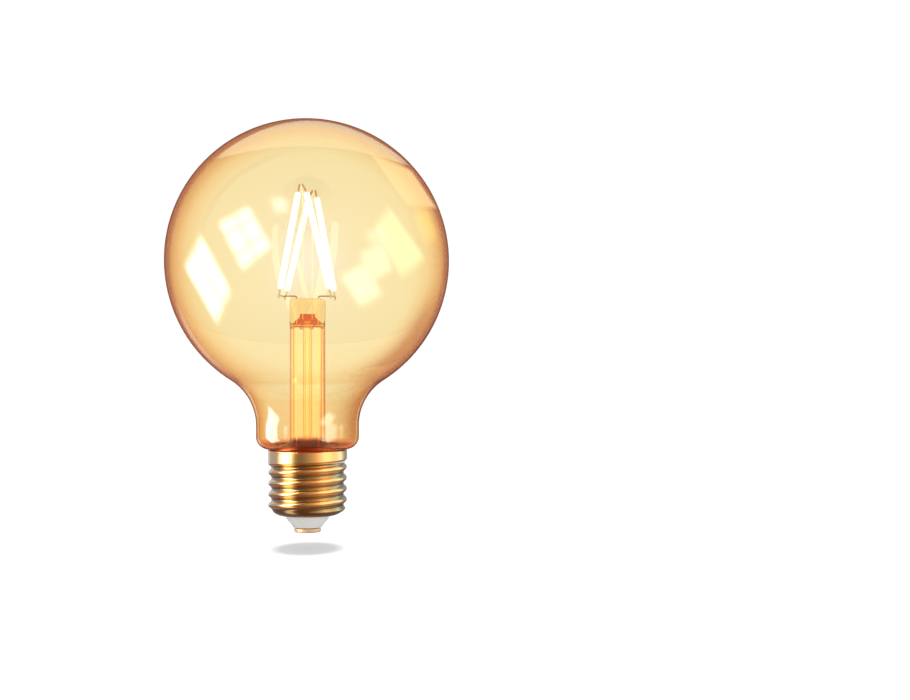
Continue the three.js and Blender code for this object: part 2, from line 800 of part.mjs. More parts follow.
const radio = { x: 4.6, low: boardBottom + 0.6, high: stubBottom + 0.2, width: 8, face: 3, thickness: 0.8 };
put(
  "radio_board",
  box(
    [radio.x - radio.width / 2, radio.face, radio.low],
    [radio.x + radio.width / 2, radio.face + radio.thickness, radio.high],
  ),
  greenBoard,
);
put(
  "radio_board_header",
  box([radio.x - 3.6, boardBack, radio.low + 0.5], [radio.x + 3.6, radio.face - joinGap, radio.low + 2.5]),
  blackResin,
);
const radioFace = radio.face + radio.thickness + joinGap;
put("radio_chip", box([-2.5, 0, -2.5], [2.5, 0.9, 2.5]), blackResin, [radio.x, radioFace, radio.low + 4.7]);
put("memory_chip", box([-1.5, 0, -1], [1.5, 0.7, 1]), blackResin, [radio.x + 1.6, radioFace, radio.low + 9.4]);
put("radio_crystal", box([-1, 0, -1.25], [1, 0.7, 1.25]), tin, [radio.x - 2, radioFace, radio.low + 9.4]);

// Cables. The antenna ends in the stem's flare, above the metal of the cap.
const antennaY = radioFace + cableDiameter / 2;
const antennaR = (stemBore + exhaustDiameter / 2) / 2;
put(
  "antenna_wire",
  wire(
    [
      [2.4, antennaY, radio.high - 1.6],
      [2.4, antennaY, radio.high + 1],
      [1.2, antennaY - 0.4, stubTop],
      [-1.2, antennaR + 0.2, flareStart - 1.2],
    ],
    cableDiameter,
  ),
  blackCable,
);
put(
  "live_wire",
  wire(
    [
      [resistor.x, resistor.y, liveJointZ - joinGap],
      [resistor.x, resistor.y, liveJointZ - 0.8],
      [3.6, -2.2, insulatorTop + 0.75],
      [contactPinRadius + joinGap + 0.1, -0.2, insulatorTop + 0.7],
    ],
    cableDiameter * 0.8,
  ),
  redCable,
);
const neutralX = -8.2;
put(
  "neutral_wire",
  wire(
    [
      [neutralX, boardBack + cableDiameter / 2, boardBottom + 3],
      [neutralX, boardBack + cableDiameter / 2, threadTop - 3.9],
      [neutralX - 0.5, 1.8, threadTop - 1.5],
      [neutralX - 1.7, 2.45, threadTop - 0.8],
    ],
    cableDiameter,
  ),
  whiteCable,
);
const solderBall = new THREE.SphereGeometry(0.5, 8, 6);
put("neutral_solder_joint", solderBall, tin, [neutralX - 2.55, 2.7, threadTop - 0.65]);

export default lamp;
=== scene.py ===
"""Looks of the globe lamp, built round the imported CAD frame.

Lengths are in millimetres until they reach a mesh, a light card or the camera, which take metres.
"""

import math

import bpy
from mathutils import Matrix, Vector


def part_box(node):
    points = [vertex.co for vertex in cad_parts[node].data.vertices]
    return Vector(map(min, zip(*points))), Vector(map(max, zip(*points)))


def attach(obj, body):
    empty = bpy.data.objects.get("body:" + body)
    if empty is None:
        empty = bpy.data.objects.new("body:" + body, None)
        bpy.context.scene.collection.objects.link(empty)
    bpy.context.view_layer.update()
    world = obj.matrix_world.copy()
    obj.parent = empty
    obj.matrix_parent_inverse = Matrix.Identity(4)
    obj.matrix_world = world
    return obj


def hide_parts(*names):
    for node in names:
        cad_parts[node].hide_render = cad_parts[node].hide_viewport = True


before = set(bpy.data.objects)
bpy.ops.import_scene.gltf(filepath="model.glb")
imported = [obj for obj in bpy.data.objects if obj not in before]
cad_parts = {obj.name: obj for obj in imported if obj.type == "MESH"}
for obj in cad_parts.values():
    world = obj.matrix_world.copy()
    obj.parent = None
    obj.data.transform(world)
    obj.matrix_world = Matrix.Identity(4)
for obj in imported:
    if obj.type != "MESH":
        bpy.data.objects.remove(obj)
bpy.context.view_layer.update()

MM = 0.001


# ------------------------------------------------------------------------------------------------
# Sizes, the same as the CAD's
# ------------------------------------------------------------------------------------------------
def heights_of(node):
    """The lowest and highest point of a CAD node."""
    low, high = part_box(node)
    return 1000 * low.z, 1000 * high.z


STUB_BOTTOM, GLOBE_TOP = heights_of("glass_globe")
GLOBE_R = 1000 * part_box("glass_globe")[1].x
GLOBE_Z = GLOBE_TOP - GLOBE_R
STUB_TOP = 27.8
STUB_R = 11.8
STUB_FILLET = 0.6
GLASS = 0.9
NECK_R = 17.2
NECK_HEIGHT = 7.9
SHOULDER = 17.9
FOOT = 4.2

RIM_Z = heights_of("screw_shell")[1]
COLLAR_R = 13.25
SHELL_WALL = 0.3
PITCH = 3.629
CREST_R = 13.15
ROOT_R = 12.08
THREAD_TOP = 24.8
THREAD_START = 22.9
THREAD_BOTTOM = 8.8
FLOOR_Z = 5.5
FLOOR_HOLE_R = 7.7

STEM_R = 5.95
STEM_WALL = 1.05
PINCH_TOP = heights_of("glass_stem")[1]
PINCH_Y = 2.0
HOLLOW_X, HOLLOW_Y = 2.6, 0.9
CAVITY_TOP = PINCH_TOP - 8.6
FLARE_RIM = 10.6
FLARE_START = STUB_TOP + 3.8
TUBE_R, TUBE_BORE = 1.5, 0.8

WIRE_R = 0.225
JOIN = 0.3
TAB_WIDTH, TAB_THICK = 0.6, 0.2
LEAD_X = 3.7
LEAD_Z = PINCH_TOP + 0.7
SUPPORT_X = 1.6
FOOT_Z = PINCH_TOP + 2.9
TIP_Z = FOOT_Z + 31.7
HOOK_Z = TIP_Z + 2.7
HOOK_X = -1.3
FOOT_X, FOOT_Y = 8.05, 10.2
TIP_Y, TIP_NEAR, TIP_FAR = 8.8, -2.3, 0.4
BAR_X = 8.45
BAR_END = 9.8
FILAMENT_R, FILAMENT_FLATNESS = 0.95, 0.82

# ------------------------------------------------------------------------------------------------
# Camera
# ------------------------------------------------------------------------------------------------
camera = bpy.data.objects.new("camera", bpy.data.cameras.new("camera"))
bpy.context.collection.objects.link(camera)
camera.data.lens = 62.43
camera.data.sensor_width = 36
# In metres: in front of the lamp, a little to its right, level with the lower part of the globe.
camera.location = (0.0495, -0.530, 0.061)
camera.rotation_euler = (math.radians(90), 0, 0)
bpy.context.scene.camera = camera


# ------------------------------------------------------------------------------------------------
# Materials
# ------------------------------------------------------------------------------------------------
WHITE = (1, 1, 1)
BLACK = (0, 0, 0)
METAL_GRAIN, PLASTIC_GRAIN = 900, 1500
METAL_RELIEF, PLASTIC_RELIEF, FILAMENT_RELIEF = 0.00004, 0.00003, 0.00005


def material(name, **values):
    """A Principled material with plain values on its sockets, and its nodes, links and shader."""
    m = bpy.data.materials.new(name)
    m.use_nodes = True
    shader = m.node_tree.nodes["Principled BSDF"]
    for key, value in values.items():
        shader.inputs[key.replace("_", " ")].default_value = value
    return m, m.node_tree.nodes, m.node_tree.links, shader


def noise(nodes, links, scale):
    """A noise texture on object coordinates."""
    place = nodes.new("ShaderNodeTexCoord")
    texture = nodes.new("ShaderNodeTexNoise")
    texture.inputs["Scale"].default_value = scale
    texture.inputs["Detail"].default_value = 3
    links.new(place.outputs["Object"], texture.inputs["Vector"])
    return texture.outputs["Fac"]


def ramp(nodes, links, source, *stops):
    """A colour ramp: stops are (position, colour)."""
    node = nodes.new("ShaderNodeValToRGB")
    while len(node.color_ramp.elements) < len(stops):
        node.color_ramp.elements.new(0.5)
    for element, (place, colour) in zip(node.color_ramp.elements, stops):
        element.position = place
        element.color = (*colour, 1)
    links.new(source, node.inputs["Fac"])
    return node.outputs["Color"]


def level(nodes, links, source, low, high):
    """The source, spread over low..high."""
    node = nodes.new("ShaderNodeMapRange")
    node.inputs["To Min"].default_value = low
    node.inputs["To Max"].default_value = high
    links.new(source, node.inputs["Value"])
    return node.outputs["Result"]


def bump(nodes, links, shader, source, strength, distance):
    """Relief from the source."""
    node = nodes.new("ShaderNodeBump")
    node.inputs["Strength"].default_value = strength
    node.inputs["Distance"].default_value = distance
    links.new(source, node.inputs["Height"])
    links.new(node.outputs["Normal"], shader.inputs["Normal"])


def multiplied(nodes, links, a, b):
    """The product of two colours."""
    node = nodes.new("ShaderNodeMix")
    node.data_type, node.blend_type = "RGBA", "MULTIPLY"
    node.inputs["Factor"].default_value = 1
    links.new(a, node.inputs["A"])
    links.new(b, node.inputs["B"])
    return node.outputs["Result"]


def by_height(nodes, links, *stops):
    """A colour by height: stops are (z in millimetres, colour), lowest first."""
    low, high = stops[0][0], stops[-1][0]
    place = nodes.new("ShaderNodeTexCoord")
    split = nodes.new("ShaderNodeSeparateXYZ")
    links.new(place.outputs["Object"], split.inputs["Vector"])
    spread = nodes.new("ShaderNodeMapRange")
    spread.inputs["From Min"].default_value = low * MM
    spread.inputs["From Max"].default_value = high * MM
    links.new(split.outputs["Z"], spread.inputs["Value"])
    shares = [((z - low) / (high - low), colour) for z, colour in stops]
    return ramp(nodes, links, spread.outputs["Result"], *shares)


# The amber coat looks deeper the more the glass turns away: (share turned away, colour).
COAT = (
    (0.36, WHITE),
    (0.50, (1.0, 0.89, 0.79)),
    (0.617, (0.96, 0.70, 0.52)),
    (0.70, (0.89, 0.59, 0.46)),
    (0.76, (0.81, 0.44, 0.34)),
    (0.83, (0.52, 0.075, 0.06)),
    (1.0, (0.20, 0.01, 0.01)),
)
STEM_COAT = (
    (0.48, WHITE),
    (0.60, (0.90, 0.42, 0.14)),
    (0.70, (0.36, 0.05, 0.02)),
    (1.0, (0.12, 0.005, 0.005)),
)
TUBE_COAT = (
    (0.28, WHITE),
    (0.42, (0.80, 0.42, 0.16)),
    (0.65, (0.35, 0.08, 0.03)),
    (1.0, (0.15, 0.01, 0.01)),
)
# The hollow's end at the pinch: an orange-red tint, deeper as it turns away, which is painted
# shade.
HOLLOW_SHADE = ((0, (0.80, 0.50, 0.16)), (1, (0.60, 0.12, 0.06)))


def glass(name, colour, density, coat=COAT, heights=None, glow=None):
    """Glass coloured by its depth, under an amber coat, tinted by height, with painted light as a
    glow at some heights.
    """
    m, nodes, links, shader = material(
        name, Transmission_Weight=1, Roughness=0, IOR=1.5, Emission_Strength=1
    )
    turned_away = nodes.new("ShaderNodeLayerWeight")
    tint = ramp(nodes, links, turned_away.outputs["Facing"], *coat)
    if heights:
        tint = multiplied(nodes, links, tint, by_height(nodes, links, *heights))
    links.new(tint, shader.inputs["Base Color"])
    shader.inputs["Emission Color"].default_value = (*BLACK, 1)
    # The glow is painted light: the glass emits a colour by height.
    if glow:
        links.new(by_height(nodes, links, *glow), shader.inputs["Emission Color"])
    inside = nodes.new("ShaderNodeVolumeAbsorption")
    inside.inputs["Color"].default_value = (*colour, 1)
    inside.inputs["Density"].default_value = density
    links.new(inside.outputs["Volume"], nodes["Material Output"].inputs["Volume"])
    return m


def metal(name, dark, light, rough):
    """A metal with fine variation in its colour, polish and surface."""
    m, nodes, links, shader = material(name, Metallic=1)
    fine = noise(nodes, links, METAL_GRAIN)
    broad = noise(nodes, links, METAL_GRAIN / 8)
    links.new(ramp(nodes, links, broad, (0.3, dark), (0.7, light)), shader.inputs["Base Color"])
    links.new(level(nodes, links, fine, rough * 0.8, rough * 1.25), shader.inputs["Roughness"])
    bump(nodes, links, shader, fine, 0.15, METAL_RELIEF)
    return m


def moulded(name, dark, light, rough, scale=PLASTIC_GRAIN, relief=0.2):
    """Plastic, resin, coating or sleeve with a fine grain."""
    m, nodes, links, shader = material(name)
    grain = noise(nodes, links, scale)
    broad = noise(nodes, links, scale / 10)
    links.new(ramp(nodes, links, broad, (0.3, dark), (0.7, light)), shader.inputs["Base Color"])
    links.new(level(nodes, links, grain, rough * 0.85, rough * 1.2), shader.inputs["Roughness"])
    bump(nodes, links, shader, grain, relief, PLASTIC_RELIEF)
    return m


# The deep red tint of the neck's glass ends softly, between these two heights.
SEAL_TOP, CLEAR_FROM = FLARE_START - 1.2, FLARE_START + 0.4
SEAL_RED = (0.38, 0.012, 0.010)
# Painted light: the glow colours that the seal, the exhaust tube and the hollow at the pinch emit.
SEAL_PAINTED_GLOW = (0.03, 0.001, 0.001)
TUBE_PAINTED_GLOW = (0.12, 0.045, 0.004)
HOLLOW_PAINTED_GLOW = (0.12, 0.045, 0.006)
GLOBE_AMBER, GLOBE_DENSITY = (0.951, 0.761, 0.127), 500
STEM_AMBER, STEM_DENSITY = (0.962, 0.674, 0.106), 180
amber = glass(
    "amber_glass",
    GLOBE_AMBER,
    GLOBE_DENSITY,
    # The heights paint the globe darker towards the bottom: deep red at its foot, then painted
    # shade over the neck and the lower shoulder.
    heights=[
        (STUB_TOP - 1, SEAL_RED),
        (STUB_TOP + 0.4, (0.8, 0.2, 0.14)),
        (STUB_TOP + 3, (0.95, 0.83, 0.70)),
        (STUB_TOP + 16, (0.955, 0.87, 0.76)),
        (STUB_TOP + 22, WHITE),
    ],
)
stem_glass = glass(
    "stem_glass",
    STEM_AMBER,
    STEM_DENSITY,
    STEM_COAT,
    heights=[(STUB_TOP, SEAL_RED), (SEAL_TOP, SEAL_RED), (CLEAR_FROM, WHITE)],
    # Painted light: the stem glows faintly with the filaments' light, and dark red at the seal.
    glow=[
        (STUB_TOP, SEAL_PAINTED_GLOW),
        (SEAL_TOP, SEAL_PAINTED_GLOW),
        (CLEAR_FROM, (0.10, 0.075, 0.030)),
        (CAVITY_TOP - 2, (0.08, 0.042, 0.014)),
        (CAVITY_TOP, BLACK),
        (CAVITY_TOP + 1, BLACK),
    ],
)
tube_glass = glass(
    "tube_glass",
    STEM_AMBER,
    STEM_DENSITY,
    TUBE_COAT,
    heights=[(STUB_TOP, SEAL_RED), (FLARE_START, WHITE)],
    # Painted light: the exhaust tube glows, faint red at its foot.
    glow=[(STUB_TOP, (0.05, 0.002, 0.001)), (FLARE_START, TUBE_PAINTED_GLOW), (CAVITY_TOP, TUBE_PAINTED_GLOW)],
)
# The hollow's end at the pinch: its tint is painted shade and its glow is painted light.
seal_glass = glass(
    "seal_glass",
    STEM_AMBER,
    STEM_DENSITY,
    HOLLOW_SHADE,
    glow=[(CAVITY_TOP - 1, BLACK), (CAVITY_TOP, HOLLOW_PAINTED_GLOW), (CAVITY_TOP + 4, HOLLOW_PAINTED_GLOW)],
)
# The thread's depth, over which the painted shade in its grooves fades.
GROOVE = 12.1
CREST = 12.95


def rolled_gold():
    """The shell's gold plating, with painted shade darkening and cooling it in the thread's
    grooves.
    """
    m, nodes, links, shader = material("gold_shell", Metallic=1)
    fine = noise(nodes, links, METAL_GRAIN)
    place = nodes.new("ShaderNodeTexCoord")
    flat = nodes.new("ShaderNodeVectorMath")
    flat.operation = "MULTIPLY"
    flat.inputs[1].default_value = (1, 1, 0)
    links.new(place.outputs["Object"], flat.inputs[0])
    radius = nodes.new("ShaderNodeVectorMath")
    radius.operation = "LENGTH"
    links.new(flat.outputs["Vector"], radius.inputs[0])
    depth = nodes.new("ShaderNodeMapRange")
    depth.inputs["From Min"].default_value = GROOVE * MM
    depth.inputs["From Max"].default_value = CREST * MM
    links.new(radius.outputs["Value"], depth.inputs["Value"])
    # Painted shade: the base colour darkens towards the thread's roots.
    groove_shade = ((0, (0.42, 0.48, 0.55)), (0.55, (0.83, 0.88, 0.93)), (1, WHITE))
    wear_and_groove_shade = ramp(nodes, links, depth.outputs["Result"], *groove_shade)
    golds = ((0.3, (0.90, 0.47, 0.15)), (0.7, (0.96, 0.52, 0.18)))
    plating = ramp(nodes, links, noise(nodes, links, 110), *golds)
    links.new(multiplied(nodes, links, plating, wear_and_groove_shade), shader.inputs["Base Color"])
    links.new(level(nodes, links, fine, 0.10, 0.15), shader.inputs["Roughness"])
    bump(nodes, links, shader, fine, 0.15, METAL_RELIEF)
    return m


gold = rolled_gold()
brass = metal("brass", (0.90, 0.59, 0.31), (0.97, 0.67, 0.37), 0.6)
nickel = metal("nickel_wire", (0.72, 0.62, 0.46), (0.82, 0.72, 0.56), 0.3)
dark_wire = metal("dark_wire", (0.36, 0.22, 0.12), (0.46, 0.30, 0.17), 0.3)


def mount_wire(name, above, painted_glow_above):
    """Copper up to the pinch and another metal above, with the filaments' light on it painted in as
    an emission glow.
    """
    m, nodes, links, shader = material(name, Metallic=1, Emission_Strength=1)
    grain = noise(nodes, links, METAL_GRAIN)
    low, high = PINCH_TOP - 0.8, PINCH_TOP + 0.2
    wear_and_groove_shade = ramp(nodes, links, grain, (0.3, (0.9, 0.9, 0.9)), (0.7, WHITE))
    colour = by_height(nodes, links, (low, (0.95, 0.66, 0.34)), (high, above))
    links.new(multiplied(nodes, links, colour, wear_and_groove_shade), shader.inputs["Base Color"])
    # Painted light: the wire emits a colour by height, brightest below the pinch.
    glow = by_height(nodes, links, (low, (0.58, 0.50, 0.26)), (high, painted_glow_above))
    links.new(glow, shader.inputs["Emission Color"])
    links.new(level(nodes, links, grain, 0.24, 0.36), shader.inputs["Roughness"])
    return m


# Painted light above the pinch: the support wires glow faintly, the leads not at all.
lead_metal = mount_wire("lead_wire", (0.40, 0.25, 0.14), BLACK)
support_metal = mount_wire("support_wire", (0.80, 0.75, 0.65), (0.42, 0.40, 0.31))
copper_tab = metal("copper_tab", (0.66, 0.36, 0.22), (0.78, 0.46, 0.30), 0.3)
white_plastic = moulded("white_plastic", (0.70, 0.69, 0.67), (0.76, 0.75, 0.73), 0.35)


def lit_filament():
    """The silicone coat of a lit filament."""
    m, nodes, links, shader = material("lit_filament", Roughness=0.5, Emission_Strength=2.3)
    shader.inputs["Emission Color"].default_value = (1, 0.96, 0.94, 1)
    grain = noise(nodes, links, 700)
    coat = ramp(nodes, links, grain, (0.3, (0.95, 0.84, 0.52)), (0.7, (1, 0.92, 0.66)))
    links.new(coat, shader.inputs["Base Color"])
    bump(nodes, links, shader, grain, 0.2, FILAMENT_RELIEF)
    return m


phosphor = lit_filament()


# ------------------------------------------------------------------------------------------------
# Mesh building
# ------------------------------------------------------------------------------------------------
def ease(t):
    """A smooth step from 0 at t = 0 to 1 at t = 1."""
    return t * t * (3 - 2 * t)


def piece(name, verts, faces, finish, nodes=(), sharp=35):
    """A mesh from points in millimetres, on the root body in place of any named CAD nodes."""
    mesh = bpy.data.meshes.new(name)
    mesh.from_pydata([(x * MM, y * MM, z * MM) for x, y, z in verts], [], faces)
    mesh.validate()
    mesh.shade_smooth()
    mesh.set_sharp_from_angle(angle=math.radians(sharp))
    mesh.materials.append(finish)
    made = bpy.data.objects.new(name, mesh)
    bpy.context.collection.objects.link(made)
    if nodes:
        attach(made, "root")
        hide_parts(*nodes)
    return made


def skin(loops, closed=False):
    """Faces between loops of equal length, lowest first and anticlockwise seen from above."""
    n, rows = len(loops[0]), len(loops)
    verts = [p for loop in loops for p in loop]
    faces = []
    for j in range(rows if closed else rows - 1):
        low, high = j * n, ((j + 1) % rows) * n
        faces += [(low + i, low + (i + 1) % n, high + (i + 1) % n, high + i) for i in range(n)]
    if not closed:
        faces += [tuple(range(n))[::-1], tuple((rows - 1) * n + i for i in range(n))]
    return verts, faces


def circle(radius, n):
    """The [x, y] points of a circle."""
    turns = [math.tau * i / n for i in range(n)]
    return [(radius * math.cos(a), radius * math.sin(a)) for a in turns]


def ring(r, z, n):
    return [(x, y, z) for x, y in circle(r, n)]


def turned(profile, n=96, closed=False):
    """A body turned about Z. An end on the axis closes with a fan of triangles."""
    ends = [p for p in (profile[0], profile[-1]) if p[0] == 0]
    verts, faces = skin([ring(r, z, n) for r, z in profile if r > 0], closed)
    if ends:
        rows = sum(r > 0 for r, _ in profile)
        del faces[-2:]
        low, high = len(verts), len(verts) + 1
        verts += [(0, 0, profile[0][1]), (0, 0, profile[-1][1])]
        for i in range(n):
            k = (i + 1) % n
            faces += [(low, k, i), (high, (rows - 1) * n + i, (rows - 1) * n + k)]
    return verts, faces


def hollow(outside, inside, n):
    """One closed wall from an outer and an inner skin, joined at the open loops they start with."""
    (verts, faces), (inner_verts, inner_faces) = outside, inside
    base = len(verts)
    back = [tuple(base + k for k in reversed(f)) for f in inner_faces]
    rim = [((i + 1) % n, i, base + i, base + (i + 1) % n) for i in range(n)]
    return verts + inner_verts, faces + back + rim


def arc(r0, z0, radius, start, end, steps):
    """Points on an arc in the [radius, z] plane, angles in degrees."""
    return [
        (r0 + radius * math.cos(math.radians(a)), z0 + radius * math.sin(math.radians(a)))
        for a in (start + (end - start) * i / steps for i in range(steps + 1))
    ]


def smooth_path(points, each):
    """A centripetal Catmull-Rom curve through points."""
    pts = [Vector(p) for p in points]
    pts = [2 * pts[0] - pts[1], *pts, 2 * pts[-1] - pts[-2]]
    out = []
    for a, b, c, d in zip(pts, pts[1:], pts[2:], pts[3:]):
        knots = [0.0]
        for u, v in ((a, b), (b, c), (c, d)):
            knots.append(knots[-1] + max((v - u).length, 1e-6) ** 0.5)
        t0, t1, t2, t3 = knots
        for i in range(each):
            t = t1 + (t2 - t1) * i / each
            ab = a.lerp(b, (t - t0) / (t1 - t0))
            bc = b.lerp(c, (t - t1) / (t2 - t1))
            cd = c.lerp(d, (t - t2) / (t3 - t2))
            abc = ab.lerp(bc, (t - t0) / (t2 - t0))
            bcd = bc.lerp(cd, (t - t1) / (t3 - t1))
            out.append(abc.lerp(bcd, (t - t1) / (t2 - t1)))
    return [*out, pts[-2]]


def swept(path, radius, sides=12):
    """A round rod along a path, a little slimmer at its two ends, which are closed."""
    loops = []
    last = len(path) - 1
    way = (path[1] - path[0]).normalized()
    side = way.orthogonal().normalized()
    for i, p in enumerate(path):
        step = (path[min(i + 1, last)] - path[max(i - 1, 0)]).normalized()
        side = (step.rotation_difference(way).inverted() @ side).normalized()
        way = step
        up = way.cross(side)
        section = circle(radius * (0.75 if i in (0, last) else 1), sides)
        loops.append([tuple(p + side * x + up * y) for x, y in section])
    return skin(loops)


def wire(name, points, finish, nodes, each):
    """A round wire, with this many steps between each two of its points."""
    verts, faces = swept(smooth_path(points, each), WIRE_R)
    return piece(name, verts, faces, finish, nodes, 60)


def bent(start, corner, end, radius, steps=6):
    """A path that turns a rounded corner."""
    a, c, b = Vector(start), Vector(corner), Vector(end)
    into, out = c + (a - c).normalized() * radius, c + (b - c).normalized() * radius
    turn = [i / steps for i in range(steps + 1)]
    curve = [into.lerp(c, t).lerp(c.lerp(out, t), t) for t in turn]
    return [tuple(p) for p in (a, *curve, b)]


# ------------------------------------------------------------------------------------------------
# Glass globe
# ------------------------------------------------------------------------------------------------
def globe_side(inset):
    """Profile of the glass from the stub in the cap to the crown, inset from its outside."""
    shoulder_r, shoulder_z = NECK_R + SHOULDER, STUB_TOP + NECK_HEIGHT
    drop = GLOBE_Z - shoulder_z
    meet = math.degrees(math.atan2(drop, shoulder_r))
    stub_r, fillet_z = STUB_R - inset, STUB_TOP + inset - STUB_FILLET
    return [
        (stub_r, STUB_BOTTOM),
        (stub_r, fillet_z),
        *arc(stub_r + STUB_FILLET, fillet_z, STUB_FILLET, 180, 90, 4)[1:],
        *arc(NECK_R - FOOT, STUB_TOP + FOOT, FOOT - inset, -90, 0, 14),
        *arc(shoulder_r, shoulder_z, SHOULDER + inset, 180, 180 - meet, 20),
        *arc(0, GLOBE_Z, GLOBE_R - inset, -meet, 90, 60)[1:-1],
        (0, GLOBE_Z + GLOBE_R - inset),
    ]


def open_foot(profile, n):
    """A body turned from an open loop at its foot to a crown on the axis."""
    verts, faces = turned([(0, profile[0][1]), *profile], n)
    del faces[-2 * n :: 2]
    return verts, faces


GLOBE_SIDES = 128
outside, inside = (open_foot(globe_side(inset), GLOBE_SIDES) for inset in (0, GLASS))
verts, faces = hollow(outside, inside, GLOBE_SIDES)
globe = piece("globe", verts, faces, amber, ["glass_globe"], 80)

# ------------------------------------------------------------------------------------------------
# Glass stem and exhaust tube
# ------------------------------------------------------------------------------------------------
SIDES = 72
ROUND, PINCHED = 2, 8


def oval(hx, hy, power, z):
    """A loop between a circle (ROUND) and a rounded rectangle (a higher power)."""
    loop = []
    for i in range(SIDES):
        c, s = math.cos(math.tau * i / SIDES), math.sin(math.tau * i / SIDES)
        x = hx * math.copysign(abs(c) ** (2 / power), c)
        y = hy * math.copysign(abs(s) ** (2 / power), s)
        loop.append((x, y, z))
    return loop


def flare_profile(inset):
    """The flare's profile from its rim up to the tube, inset from its outside."""
    flare = (FLARE_RIM - STEM_R) * 0.68
    rim = FLARE_RIM - STEM_R - flare
    rim_z = STUB_BOTTOM + 0.6
    return [
        (FLARE_RIM - inset, rim_z),
        *arc(FLARE_RIM - rim, FLARE_START - flare - rim, rim - inset, 0, 90, 8),
        *arc(STEM_R + flare, FLARE_START, flare + inset, 270, 180, 12)[1:],
    ]


def stem_loops():
    """The loops of the stem's outside and of its hollow inside, lowest first."""
    tube_levels = (45, 58)
    outer = [oval(r, r, ROUND, z) for r, z in flare_profile(0)]
    outer += [oval(STEM_R, STEM_R, ROUND, z) for z in (*tube_levels, CAVITY_TOP - 0.5)]
    for i in range(13):
        t = i / 12
        hy = STEM_R + (PINCH_Y - STEM_R) * ease(t)
        power = ROUND + (PINCHED - ROUND) * ease(t)
        outer.append(oval(STEM_R, hy, power, CAVITY_TOP - 0.3 + 0.5 * t))
    outer.append(oval(STEM_R, PINCH_Y, PINCHED, PINCH_TOP - 2.6))
    top_edge_x, top_edge_y = 1.8, 0.7
    for i in range(9):
        a = math.radians(90 * i / 8)
        drop, z = 1 - math.cos(a), PINCH_TOP - top_edge_x + top_edge_x * math.sin(a)
        outer.append(oval(STEM_R - top_edge_x * drop, PINCH_Y - top_edge_y * drop, PINCHED, z))
    bore = STEM_R - STEM_WALL
    inner = [oval(r, r, ROUND, z) for r, z in flare_profile(STEM_WALL)]
    inner += [oval(bore, bore, ROUND, z) for z in (*tube_levels, CAVITY_TOP - 2.4)]
    for i in range(9):
        t = i / 8
        hy = bore + (HOLLOW_Y - bore) * ease(t)
        inner.append(oval(bore, hy, 2 + 2 * t, CAVITY_TOP - 1.3 + 0.6 * t))
    hollow_height, hollow_taper = 3.5, 0.2
    for i in range(9):
        t = i / 8
        hx = bore + (HOLLOW_X - bore) * ease(min(1, 1.2 * t))
        z = CAVITY_TOP - 0.2 + hollow_height * t
        inner.append(oval(hx, HOLLOW_Y - hollow_taper * t, 4, z))
    return outer, inner


def open_below(loops):
    """A skin over loops, without the face that would close its lowest one."""
    verts, faces = skin(loops)
    faces.pop(-2)
    return verts, faces


outer, inner = stem_loops()
verts, faces = hollow(open_below(outer), open_below(inner), SIDES)
inner_start = SIDES * len(outer)
stem = piece("stem", verts, faces, stem_glass, ["glass_stem"], 50)
stem.data.materials.append(seal_glass)
for face in stem.data.polygons:
    inner_face = min(face.vertices) >= inner_start
    hollow_end = inner_face and face.center.z > (CAVITY_TOP - 0.3) * MM
    face.material_index = 1 if hollow_end else 0

tube_low, tube_high = heights_of("exhaust_tube")
bore_low = tube_low + 2 * TUBE_BORE
profile = [
    (0, tube_low),
    *arc(0, tube_low + TUBE_R, TUBE_R, -80, 0, 8),
    (TUBE_R, tube_high),
    (TUBE_BORE, tube_high),
    (TUBE_BORE, bore_low + TUBE_BORE),
    *arc(0, bore_low + TUBE_BORE, TUBE_BORE, 0, -80, 5)[1:],
    (0, bore_low),
]
verts, faces = turned(profile, 40)
piece("exhaust", verts, faces, tube_glass, ["exhaust_tube"], 50)

# ------------------------------------------------------------------------------------------------
# Wires, tabs and filaments
# ------------------------------------------------------------------------------------------------
BOARD_TOP = heights_of("driver_board")[1]
BOARD_FACE = -0.8
for side, sign in (("left", -1), ("right", 1)):
    x = sign * LEAD_X
    path = [
        (x, BOARD_FACE - WIRE_R, BOARD_TOP - 1.9),
        (x, BOARD_FACE - WIRE_R, BOARD_TOP + 1),
        (x, 0, BOARD_TOP + 6),
        (x, 0, BOARD_TOP + 12),
        *bent((x, 0, PINCH_TOP - 2), (x, 0, LEAD_Z), (sign * (BAR_X - 0.35), 0, LEAD_Z), 0.6),
    ]
    wire(f"lead_in_{side}", path, lead_metal, [f"lead_in_wire_{side}"], 4)
    along = (-BAR_END, 0.2 - BAR_END, 0, BAR_END - 0.2, BAR_END)
    bar = [(sign * BAR_X, y, LEAD_Z) for y in along]
    wire(f"bar_{side}", bar, dark_wire, [f"crossbar_{side}"], 2)


def strip_axes(a, b):
    """The way across a flat strip between two points, and the way it faces."""
    way = (b - a).normalized()
    across = (Vector((1, 0, 0)) - way * way.x).normalized()
    return across, across.cross(way)


def strip(name, a, b, finish, nodes):
    """A flat metal tab between two points with its edges rounded."""
    a, b = Vector(a), Vector(b)
    across, facing = strip_axes(a, b)
    w, t, c = TAB_WIDTH / 2, TAB_THICK / 2, 0.04
    right = [(w - c, -t), (w, -t + c), (w, t - c), (w - c, t)]
    outline = [*right, *((-x, -y) for x, y in right)]
    loops = []
    for s, shrink in ((0, 0.85), (0.06, 1), (0.94, 1), (1, 0.85)):
        p = a.lerp(b, s)
        loops.append([tuple(p + across * x * shrink - facing * y) for x, y in outline])
    verts, faces = skin(loops)
    return piece(name, verts, faces, finish, nodes, 30)


